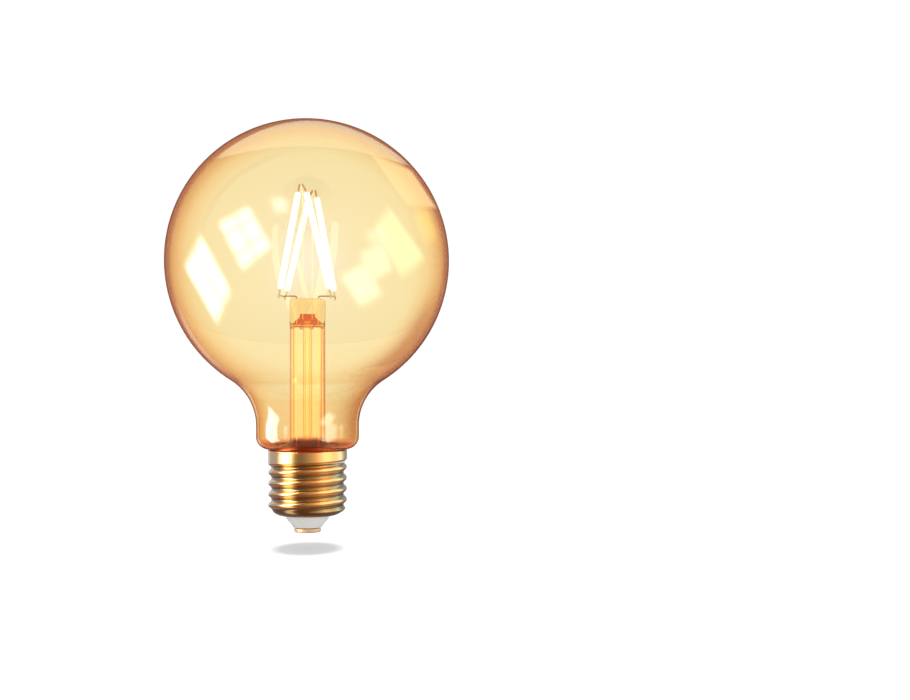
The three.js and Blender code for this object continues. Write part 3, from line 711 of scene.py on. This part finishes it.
def filament(name, foot, tip, nodes):
    """A slim strip with an oval section and rounded ends."""
    foot_end, tip_end = (0, 0.006, 0.014, 0.024), (0.976, 0.986, 0.994, 1)
    sizes = (0.55, 0.8, 0.93, 0.985)
    steps, straight_start, straight = 24, 0.04, 0.92
    middle = [straight_start + straight * i / steps for i in range(steps + 1)]
    path = [*foot_end, *middle, *tip_end]
    across, facing = strip_axes(foot, tip)
    loops = []
    for i, t in enumerate(path):
        near = min(i, len(path) - 1 - i)
        size = sizes[near] if near < len(sizes) else 1
        p, flat_way = foot.lerp(tip, t), facing * FILAMENT_FLATNESS
        section = circle(FILAMENT_R * size, 20)
        loops.append([tuple(p + across * x - flat_way * y) for x, y in section])
    verts, faces = skin(loops)
    return piece(name, verts, faces, phosphor, nodes, 60)


FOOT_TAB, TIP_TAB_START, TAB_SPREAD = 3.3, 0.4, 0.45
for place, turn in (("front", 1), ("rear", -1)):

    def at(x, y, z):
        """The rear pair is the front pair turned half a turn about Z."""
        return Vector((turn * x, turn * y, z))

    support = [
        at(-SUPPORT_X, 0, PINCH_TOP - 7),
        at(-SUPPORT_X, 0, TIP_Z - 8.6),
        at(-SUPPORT_X, 0, TIP_Z - 2.6),
        at(-SUPPORT_X, -0.25, TIP_Z - 0.6),
        at(-SUPPORT_X + 0.1, -1.5, TIP_Z + 0.1),
        at(HOOK_X, -TIP_Y + 1.1, TIP_Z + 1.3),
        at(HOOK_X, -TIP_Y, HOOK_Z),
    ]
    wire(f"support_{place}", support, support_metal, [f"support_wire_{place}"], 6)
    on_wire = WIRE_R + JOIN + TAB_THICK / 2
    for side, sign, tip_x, offset in (
        ("left", -1, TIP_NEAR, on_wire),
        ("right", 1, TIP_FAR, on_wire + JOIN + TAB_THICK),
    ):
        shown = side if turn == 1 else {"left": "right", "right": "left"}[side]
        foot = at(sign * FOOT_X, -FOOT_Y, FOOT_Z)
        tip = at(tip_x, -TIP_Y, TIP_Z)
        node = f"filament_{place}_{shown}"
        filament(f"strip_{place}_{shown}", foot, tip, [node])
        along = (tip - foot).normalized()
        low = foot - along * FOOT_TAB
        low_end, high_end = (low.x, foot.y, low.z), (foot.x, foot.y, foot.z - JOIN)
        strip(f"foot_tab_{place}_{shown}", low_end, high_end, nickel, [f"{node}_foot_tab"])
        hook = at(HOOK_X + TAB_SPREAD * sign, -TIP_Y - offset, HOOK_Z)
        start = tip + along * TIP_TAB_START
        strip(f"tip_tab_{place}_{shown}", start, hook, copper_tab, [f"{node}_tip_tab"])

# ------------------------------------------------------------------------------------------------
# Screw cap
# ------------------------------------------------------------------------------------------------
def thread_r(z, turn):
    """Radius of the rolled thread: crest and root are two arcs that touch."""
    depth = CREST_R - ROOT_R
    radius = ((PITCH / 2) ** 2 + depth**2) / (4 * depth)
    phase = (z / PITCH - turn) % 1
    off = min(phase, 1 - phase) * PITCH
    if off <= PITCH / 4:
        return CREST_R - radius + math.sqrt(radius**2 - off**2)
    return ROOT_R + radius - math.sqrt(radius**2 - (PITCH / 2 - off) ** 2)


def screw_shell():
    """The shell as one closed wall with the thread rolled in: down its inside, up its outside."""
    n, per_pitch = 144, 16
    lower_edge_steps, thread_fades_in = 24, 14
    lip, lip_height = 0.12, 0.15
    wall_r = ROOT_R + 0.35
    count = round((THREAD_TOP - THREAD_BOTTOM) / PITCH * per_pitch)

    def rows(inset):
        """The wall's rows from the rim down: [radius, height, share of the thread, inset]."""
        out = [(COLLAR_R + (lip if inset else -lip), RIM_Z, 0)]
        out += [(COLLAR_R, z, 0) for z in (RIM_Z - lip_height, THREAD_TOP + 0.4)]
        for i in range(count):
            z = THREAD_TOP - (THREAD_TOP - THREAD_BOTTOM) * i / count
            out.append((COLLAR_R if z > (THREAD_TOP + THREAD_BOTTOM) / 2 else wall_r, z, 1))
        hole_r = FLOOR_HOLE_R + inset
        for i in range(lower_edge_steps + 1):
            a = math.pi / 2 * i / lower_edge_steps
            r = hole_r + (wall_r - hole_r) * math.cos(a)
            z = THREAD_BOTTOM - (THREAD_BOTTOM - FLOOR_Z - inset) * math.sin(a)
            out.append((r, z, 1 - ease(min(1, i / thread_fades_in))))
        return [(*row, inset) for row in out]

    def rolled(z, turn):
        """How much of the thread is there: it starts higher on the right, along its own slope."""
        start = THREAD_START + PITCH * abs(turn - 0.5)
        return ease(max(0, min(1, (start - z) / (PITCH * 0.35))))

    loops = []
    for r, z, weight, inset in [*rows(SHELL_WALL), *rows(0)[::-1]]:
        loop = []
        for i, (x, y) in enumerate(circle(1, n)):
            wave = thread_r(z, i / n)
            shape = wave if z > THREAD_BOTTOM else r + wave - wall_r
            radius = r + (shape - r) * weight * rolled(z, i / n) - inset
            loop.append((radius * x, radius * y, z))
        loops.append(loop)
    return skin(loops, closed=True)


verts, faces = screw_shell()
shell = piece("shell", verts, faces, gold, ["screw_shell"], 60)

# The insulator's outline: from its hole out along its foot, up its cone, over its flange and back.
insulator_low, insulator_high = heights_of("cap_insulator")
profile = [
    (1.5, insulator_low),
    (4.5, insulator_low),
    *arc(4.55, insulator_low + 0.35, 0.35, -90, -20, 5),
    (5.4, insulator_low + 1.1),
    (6.5, FLOOR_Z - 1.75),
    (6.95, FLOOR_Z - 1.05),
    (7.25, FLOOR_Z - 0.4),
    (7.38, FLOOR_Z - 0.1),
    (7.4, FLOOR_Z + 0.2),
    (7.4, insulator_high - 1.25),
    (8.6, insulator_high - 1.2),
    (8.6, insulator_high),
    (1.5, insulator_high),
]
verts, faces = turned(profile, 96, closed=True)
piece("insulator", verts, faces, white_plastic, ["cap_insulator"])

# The contact's outline: its flat face, its rounded edge, its upper face and its pin.
pin_top = heights_of("centre_contact")[1]
profile = [
    (0, 0),
    (3.3, 0),
    (3.9, 0.05),
    *arc(4.1, 0.36, 0.36, -80, 0, 7),
    (4.47, 0.7),
    (4.44, 1.15),
    (4.36, 1.25),
    (1.2, 1.25),
    (1.2, pin_top - 0.3),
    (0.95, pin_top),
    (0, pin_top),
]
verts, faces = turned(profile, 72)
contact = piece("contact", verts, faces, brass, ["centre_contact"], 40)

# ------------------------------------------------------------------------------------------------
# Pieces inside the cap keep their CAD shapes
# ------------------------------------------------------------------------------------------------
mask = moulded("board_mask", (0.03, 0.14, 0.06), (0.05, 0.22, 0.10), 0.35, 900)
resin = moulded("black_resin", (0.015, 0.015, 0.017), (0.03, 0.03, 0.033), 0.5)
inside = {
    "basing_cement": moulded(
        "basing_cement", (0.58, 0.55, 0.48), (0.72, 0.68, 0.60), 0.9, 1200, 0.6
    ),
    "insulating_liner": moulded("liner_film", (0.72, 0.70, 0.62), (0.80, 0.78, 0.70), 0.45),
    "driver_board": mask,
    "radio_board": mask,
    "bulk_capacitor": moulded("capacitor_sleeve", (0.02, 0.022, 0.03), (0.04, 0.042, 0.055), 0.3),
    "choke_core": moulded("ferrite", (0.04, 0.04, 0.042), (0.07, 0.07, 0.07), 0.7),
    "choke_winding": metal("copper_winding", (0.55, 0.22, 0.10), (0.70, 0.32, 0.15), 0.35),
    "fusible_resistor": moulded("resistor_coat", (0.20, 0.30, 0.25), (0.28, 0.38, 0.33), 0.6),
    "fusible_resistor_sleeve": moulded("white_sleeve", (0.70, 0.70, 0.67), (0.80, 0.79, 0.76), 0.5),
    "surge_varistor": moulded("blue_coat", (0.02, 0.09, 0.33), (0.04, 0.14, 0.42), 0.35),
    "output_capacitor": moulded("ceramic", (0.45, 0.33, 0.20), (0.55, 0.42, 0.27), 0.5),
    "antenna_wire": moulded("black_cable", (0.015, 0.015, 0.017), (0.03, 0.03, 0.03), 0.45),
    "live_wire": moulded("red_cable", (0.42, 0.02, 0.02), (0.52, 0.04, 0.035), 0.45),
}
inside["neutral_wire"] = inside["fusible_resistor_sleeve"]
tin = metal("tin", (0.55, 0.56, 0.57), (0.68, 0.69, 0.70), 0.3)
for name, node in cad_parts.items():
    if name in inside:
        finish = inside[name]
    elif "_lead_" in name or name in ("radio_crystal", "neutral_solder_joint"):
        finish = tin
    else:
        finish = resin
    node.data.materials.clear()
    node.data.materials.append(finish)

# ------------------------------------------------------------------------------------------------
# Floor
# ------------------------------------------------------------------------------------------------
FLOOR = -5.7
FLOOR_REACH = 8000
# One over the reach of the painted shadow under the cap, in metres, along x, y and z.
PAINTED_SHADOW_SCALE = (74, 48, 74)


def paper():
    """The pale studio floor: it glows a little, and a painted shadow under the cap darkens its
    colour and its glow.
    """
    m, nodes, links, shader = material("paper", Roughness=0.9, Emission_Strength=0.85)
    shader.inputs["Specular IOR Level"].default_value = 0
    place = nodes.new("ShaderNodeTexCoord")
    spread = nodes.new("ShaderNodeMapping")
    spread.inputs["Scale"].default_value = PAINTED_SHADOW_SCALE
    links.new(place.outputs["Object"], spread.inputs["Vector"])
    away = nodes.new("ShaderNodeTexGradient")
    away.gradient_type = "SPHERICAL"
    links.new(spread.outputs["Vector"], away.inputs["Vector"])
    # Painted shadow: the floor is darker in a soft spot under the cap.
    shadow_greys = ((0.02, WHITE), (0.32, (0.64, 0.64, 0.64)), (1, (0.60, 0.60, 0.60)))
    painted_shadow = ramp(nodes, links, away.outputs["Fac"], *shadow_greys)
    fibre = ((0.3, (0.28, 0.28, 0.28)), (0.7, (0.3, 0.3, 0.3)))
    grain = ramp(nodes, links, noise(nodes, links, 40), *fibre)
    links.new(multiplied(nodes, links, painted_shadow, grain), shader.inputs["Base Color"])
    links.new(painted_shadow, shader.inputs["Emission Color"])
    return m


corners = [(FLOOR_REACH * x, FLOOR_REACH * y, 0) for x, y in ((-1, -1), (1, -1), (1, 1), (-1, 1))]
floor = piece("floor", corners, [(0, 1, 2, 3)], paper())
floor.location.z = FLOOR * MM
floor.visible_glossy = False

# ------------------------------------------------------------------------------------------------
# World: a white studio that mirrors as a dim room
# ------------------------------------------------------------------------------------------------
DIM = (0.20, 0.105, 0.09)
STUDIO = 1.05
world = bpy.data.worlds.new("studio")
bpy.context.scene.world = world
world.use_nodes = True
nodes, links = world.node_tree.nodes, world.node_tree.links
direction = nodes.new("ShaderNodeTexCoord")
split = nodes.new("ShaderNodeSeparateXYZ")
links.new(direction.outputs["Generated"], split.inputs["Vector"])
sky = ramp(nodes, links, split.outputs["Z"], (0.0, WHITE), (0.45, WHITE), (0.9, (0.7, 0.7, 0.72)))
ray = nodes.new("ShaderNodeLightPath")
room = nodes.new("ShaderNodeMix")
room.data_type = "RGBA"
room.inputs["B"].default_value = (*DIM, 1)
mirrored = nodes.new("ShaderNodeMath")
mirrored.operation, mirrored.use_clamp = "SUBTRACT", True
links.new(ray.outputs["Is Glossy Ray"], mirrored.inputs[0])
links.new(ray.outputs["Is Transmission Ray"], mirrored.inputs[1])
links.new(mirrored.outputs["Value"], room.inputs["Factor"])
links.new(sky, room.inputs["A"])
links.new(room.outputs["Result"], nodes["Background"].inputs["Color"])
nodes["Background"].inputs["Strength"].default_value = STUDIO

# ------------------------------------------------------------------------------------------------
# Lights that show in the glass and in the cap
# ------------------------------------------------------------------------------------------------
def receivers(name, *pieces):
    """A collection of the only pieces that a light shines on."""
    group = bpy.data.collections.new(name)
    for made in pieces:
        group.objects.link(made)
    return group


def stage_card(name, verts, faces, finish):
    """A stage piece that only mirrors or clear glass can show."""
    mesh = bpy.data.meshes.new(name)
    mesh.from_pydata([tuple(v) for v in verts], [], faces)
    mesh.materials.append(finish)
    made = bpy.data.objects.new(name, mesh)
    bpy.context.collection.objects.link(made)
    made.visible_camera = made.visible_diffuse = made.visible_shadow = False
    return made


def light_card(name, verts, faces, group, strength, shade):
    """A card of light that only some pieces mirror. Everything else looks through it."""
    lit, nodes, links, _ = material(name)
    glow = nodes.new("ShaderNodeEmission")
    glow.inputs["Strength"].default_value = strength
    links.new(shade(nodes, links), glow.inputs["Color"])
    clear = nodes.new("ShaderNodeBsdfTransparent")
    both = nodes.new("ShaderNodeAddShader")
    links.new(glow.outputs["Emission"], both.inputs[0])
    links.new(clear.outputs["BSDF"], both.inputs[1])
    links.new(both.outputs["Shader"], nodes["Material Output"].inputs["Surface"])
    made = stage_card(name, verts, faces, lit)
    made.light_linking.receiver_collection = group
    made.visible_transmission = False
    return made


GLOBE_CENTRE = Vector((0, 0, GLOBE_Z * MM))
CARD_AWAY = 1.1
GEL_AWAY = 1.12


def in_picture(x, z):
    """A place x, z in globe radii from the globe's centre, level with it and facing -Y."""
    return GLOBE_CENTRE + Vector((x, 0, z)) * GLOBE_R * MM


def seen_in_globe(x, z):
    """What the camera sees mirrored in the globe's surface there, CARD_AWAY metres from it."""
    sight = (in_picture(x, z) - camera.location).normalized()
    nearest = (GLOBE_CENTRE - camera.location).dot(sight)
    miss = (camera.location + sight * nearest - GLOBE_CENTRE).length
    depth = math.sqrt(max(0, (GLOBE_R * MM) ** 2 - miss**2))
    point = camera.location + sight * (nearest - depth)
    normal = (point - GLOBE_CENTRE).normalized()
    return point + (sight - 2 * sight.dot(normal) * normal) * CARD_AWAY


def seen_behind(x, z):
    """The point behind the globe in the same line of sight."""
    return camera.location.lerp(in_picture(x, z), GEL_AWAY)


def quad(a, b, c, d, bow=(0, 0)):
    """Places between four corners. The first and last edges bow upwards."""
    a, b, c, d = Vector(a), Vector(b), Vector(c), Vector(d)

    def at(u, v):
        x, z = a.lerp(b, u).lerp(d.lerp(c, u), v)
        return x, z + 4 * u * (1 - u) * (bow[0] + (bow[1] - bow[0]) * v)

    return at


def round_patch(start, end, near, far):
    """Places between two angles (degrees, 0 at the right) and two distances from the centre."""

    def at(u, v):
        angle, reach = math.radians(start + (end - start) * u), near + (far - near) * v
        return reach * math.cos(angle), reach * math.sin(angle)

    return at


def fade_in(t, soft):
    """A share that rises smoothly from 0 at t = 0 to 1 at t = soft."""
    return ease(min(1, t / soft))


def faded(t, soft, bars=()):
    """A share that fades towards both ends and dips at the bars."""
    depth, width = 0.3, 0.06
    dips = (1 - depth * math.exp(-(((t - bar) / width) ** 2)) for bar in bars)
    return fade_in(t, soft) * fade_in(1 - t, soft) * math.prod(dips)


def sheet(at, where, share):
    """The points, faces and shares of a fine sheet. at(u, v) is its place in the picture."""
    steps = 24
    grid = [(i / steps, j / steps) for i in range(steps + 1) for j in range(steps + 1)]
    verts = [where(*at(u, v)) for u, v in grid]
    corners = [i * (steps + 1) + j for i in range(steps) for j in range(steps)]
    faces = [(k, k + steps + 1, k + steps + 2, k + 1) for k in corners]
    return verts, faces, [share(u, v) for u, v in grid]


def by_share(low, high):
    """A colour by each point's share."""

    def shade(nodes, links):
        share = nodes.new("ShaderNodeAttribute")
        share.attribute_name = "share"
        return ramp(nodes, links, share.outputs["Fac"], (0, low), (1, high))

    return shade


def keep_shares(made, shares):
    made.data.attributes.new("share", "FLOAT", "POINT").data.foreach_set("value", shares)


def window(name, at, strength, colour, bars, soft):
    """A window that the globe mirrors. Its light fades at its edges and bars."""

    def share(u, v):
        return faded(u, soft, bars[0]) * faded(v, soft, bars[1])

    verts, faces, shares = sheet(at, seen_in_globe, share)
    made = light_card(name, verts, faces, in_glass, strength, by_share(BLACK, colour))
    keep_shares(made, shares)
    made.data.materials[0].cycles.emission_sampling = "NONE"


def flag(name, at, colour, share):
    """A tinted gel behind the globe, which shows only through the glass, painting shade into what
    the glass shows; a colour above one paints light instead.
    """
    verts, faces, shares = sheet(at, seen_behind, share)
    gel, nodes, links, _ = material(name)
    clear = nodes.new("ShaderNodeBsdfTransparent")
    links.new(by_share(WHITE, colour)(nodes, links), clear.inputs["Color"])
    links.new(clear.outputs["BSDF"], nodes["Material Output"].inputs["Surface"])
    made = stage_card(name, verts, faces, gel)
    made.visible_glossy = False
    keep_shares(made, shares)


in_glass = receivers("in_glass", globe, stem)
YELLOW = (1, 1, 0.45)
CREAM = (1, 1, 0.8)
AMBER = (1, 0.85, 0.05)
CREAM_SKY, GREEN_SKY, PINK_SKY = (1, 0.95, 0.55), (0.7, 1, 0.8), (1, 0.8, 0.7)
PANES_A, PANES_B, NO_PANES = ((0.5,), (0.3, 0.65)), ((0.45,), ()), ((), ())
# Each window: its corners as x, z in globe radii, then its strength, colour, bars and soft edge.
WINDOWS = {
    "window_a": (
        ((-0.67, 0.29), (-0.41, 0.43), (-0.22, 0.09), (-0.465, -0.12)),
        (14, WHITE, PANES_A, 0.2),
    ),
    "window_b": (
        ((-0.76, 0.24), (-0.90, -0.03), (-0.635, -0.50), (-0.51, -0.22)),
        (14, WHITE, PANES_B, 0.2),
    ),
    "window_c": (
        ((-0.32, 0.48), (-0.13, 0.49), (-0.08, 0.33), (-0.25, 0.29)),
        (8, WHITE, NO_PANES, 0.5),
    ),
    "window_d": (
        ((0.45, 0.27), (0.565, 0.43), (0.87, 0.0), (0.66, -0.17)),
        (5.5, YELLOW, NO_PANES, 0.2),
    ),
    "window_e": (
        ((0.31, 0.08), (0.57, 0.18), (0.64, -0.09), (0.45, -0.19)),
        (6, CREAM, NO_PANES, 0.3),
    ),
    "window_f": (
        ((0.18, -0.09), (0.40, 0.04), (0.58, -0.25), (0.37, -0.38)),
        (8, CREAM, NO_PANES, 0.3),
    ),
    "window_g": (
        ((0.36, 0.22), (0.55, 0.30), (0.62, 0.11), (0.42, 0.07)),
        (4, CREAM, NO_PANES, 0.4),
    ),
    "window_h": (
        ((0.70, 0.40), (0.86, 0.42), (0.95, 0.13), (0.82, 0.05)),
        (1.6, AMBER, NO_PANES, 0.35),
    ),
    "sky_right": (
        ((0.41, 0.79), (0.74, 0.65), (0.93, 0.36), (0.71, 0.37)),
        (1.6, CREAM_SKY, NO_PANES, 0.12),
    ),
}
for name, (corners, (strength, colour, bars, soft)) in WINDOWS.items():
    window(name, quad(*corners), strength, colour, bars, soft)
lens = quad((-0.67, 0.71), (0.74, 0.66), (0.71, 0.69), (-0.65, 0.73), bow=(0.12, 0.285))
window("sky_top", lens, 1.3, GREEN_SKY, NO_PANES, 0.06)
window("rim_left", round_patch(192, 240, 0.955, 0.992), 1.0, PINK_SKY, NO_PANES, 0.4)

# The gels: two paint shade on the lower right, and the third paints light to make the middle paler.
RUST_SHADE = (0.62, 0.38, 0.38)
BROWN_SHADE = (0.55, 0.30, 0.20)
PAINTED_HALO = (1.03, 1.09, 1.45)


def right_share(u, v):
    return faded(u, 0.35) * min(1, v / 0.23) ** 2 * fade_in(1 - v, 0.3)


def neck_share(u, v):
    return 0.8 * fade_in(u, 0.56) * fade_in(v, 0.6)


def halo_share(u, v):
    return faded(u, 0.5) * faded(v, 0.5)


beside_neck = quad((0.16, -0.80), (0.80, -0.80), (0.80, -1.40), (0.16, -1.40))
round_filaments = quad((-0.40, -0.40), (0.42, -0.40), (0.36, 0.42), (-0.34, 0.42))
flag("flag_right", round_patch(-84, -6, 0.80, 1.5), RUST_SHADE, right_share)
flag("flag_neck", beside_neck, BROWN_SHADE, neck_share)
flag("halo", round_filaments, PAINTED_HALO, halo_share)

# What the cap mirrors all round it: (degrees to the right of the camera, colour).
ROUND_CAP = (
    (-180, (0.4, 0.5, 0.65)),
    (-148, (0.75, 0.95, 1.3)),
    (-135, (0.45, 0.6, 0.9)),
    (-119, (0.44, 0.6, 1.1)),
    (-97, (0.46, 0.58, 1.1)),
    (-90, (1.0, 1.2, 1.6)),
    (-83, (2.0, 2.2, 3.5)),
    (-74, (7, 7, 7)),
    (-58, (7, 7, 7)),
    (-50, (3.5, 3.5, 4)),
    (-44, (1.0, 1.25, 1.5)),
    (-36, (0.5, 0.5, 0.5)),
    (-30, (0.27, 0.27, 0.27)),
    (-19, (0.22, 0.22, 0.22)),
    (-7, (0.3, 0.3, 0.3)),
    (4, (0.45, 0.43, 0.4)),
    (16, (0.66, 0.55, 0.5)),
    (27, (0.95, 0.8, 0.7)),
    (39, (1.35, 1.3, 1.2)),
    (52, (1.8, 1.8, 1.8)),
    (65, (1.75, 1.75, 1.75)),
    (79, (1.3, 1.4, 1.4)),
    (95, (1.1, 1.5, 2.1)),
    (104, (1.1, 1.9, 3.0)),
    (112, (1.0, 1.7, 2.6)),
    (125, (0.5, 0.7, 1.0)),
    (139, (0.3, 0.42, 0.6)),
    (180, (0.4, 0.5, 0.65)),
)
CAP_PEAK = 7
# The two tents of light round the cap, in metres: (foot, top, share of the brightness).
TENT_R = 0.16
TENTS = {"cap_tent": (-0.005, 0.28, 1), "cap_tent_low": (-0.3, -0.005, 0.22)}


def round_cap(nodes, links):
    """The tent's colour by the way it lies from the axis, less what the dim room adds."""
    place = nodes.new("ShaderNodeTexCoord")
    turn = nodes.new("ShaderNodeMapping")
    to_camera = math.atan2(camera.location.x, -camera.location.y)
    turn.inputs["Rotation"].default_value.z = math.radians(90) - to_camera
    links.new(place.outputs["Object"], turn.inputs["Vector"])
    angle = nodes.new("ShaderNodeTexGradient")
    angle.gradient_type = "RADIAL"
    links.new(turn.outputs["Vector"], angle.inputs["Vector"])
    stops = []
    for degrees, colour in ROUND_CAP:
        shares = [max(0, c - dim) / CAP_PEAK for c, dim in zip(colour, DIM)]
        stops.append((degrees / 360 + 0.5, shares))
    return ramp(nodes, links, angle.outputs["Fac"], *stops)


in_cap = receivers("in_cap", shell, contact)
for name, (low, high, share) in TENTS.items():
    verts, faces = skin([ring(TENT_R, z, 96) for z in (low, high)])
    light_card(name, verts, faces[:-2], in_cap, CAP_PEAK * share, round_cap)

view = bpy.context.scene.view_settings
view.view_transform = "Standard"
view.look = "None"
